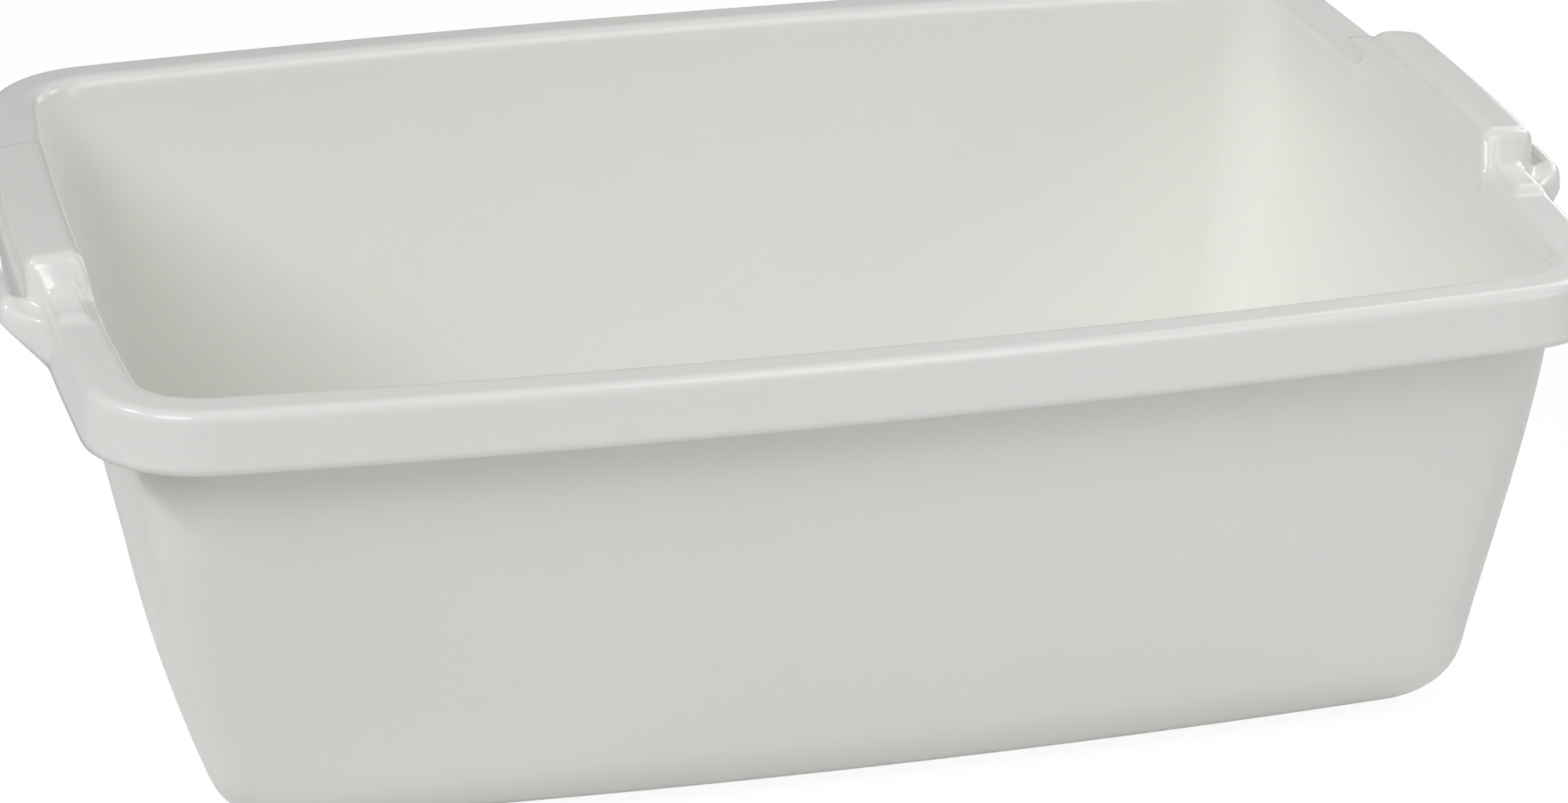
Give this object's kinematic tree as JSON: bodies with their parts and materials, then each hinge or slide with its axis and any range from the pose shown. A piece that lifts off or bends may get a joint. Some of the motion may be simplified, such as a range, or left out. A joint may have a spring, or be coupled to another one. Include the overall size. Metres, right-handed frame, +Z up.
{
  "type": "washing-up basin",
  "caption": "Rectangular white plastic washing-up basin with a tapered tub, a down-turned rim and a raised grip with an outer bar at each short side.",
  "frame": {"origin": "centre of the base, on the surface that the basin stands on", "axes": "+X along the long sides, +Y across the basin, +Z up"},
  "size_m": [0.4228, 0.2864, 0.1437],
  "materials": {
    "basin": "smooth off-white polypropylene with a moulded gloss"
  },
  "bodies": {
    "root": {"basin": "basin"}
  },
  "joints": []
}
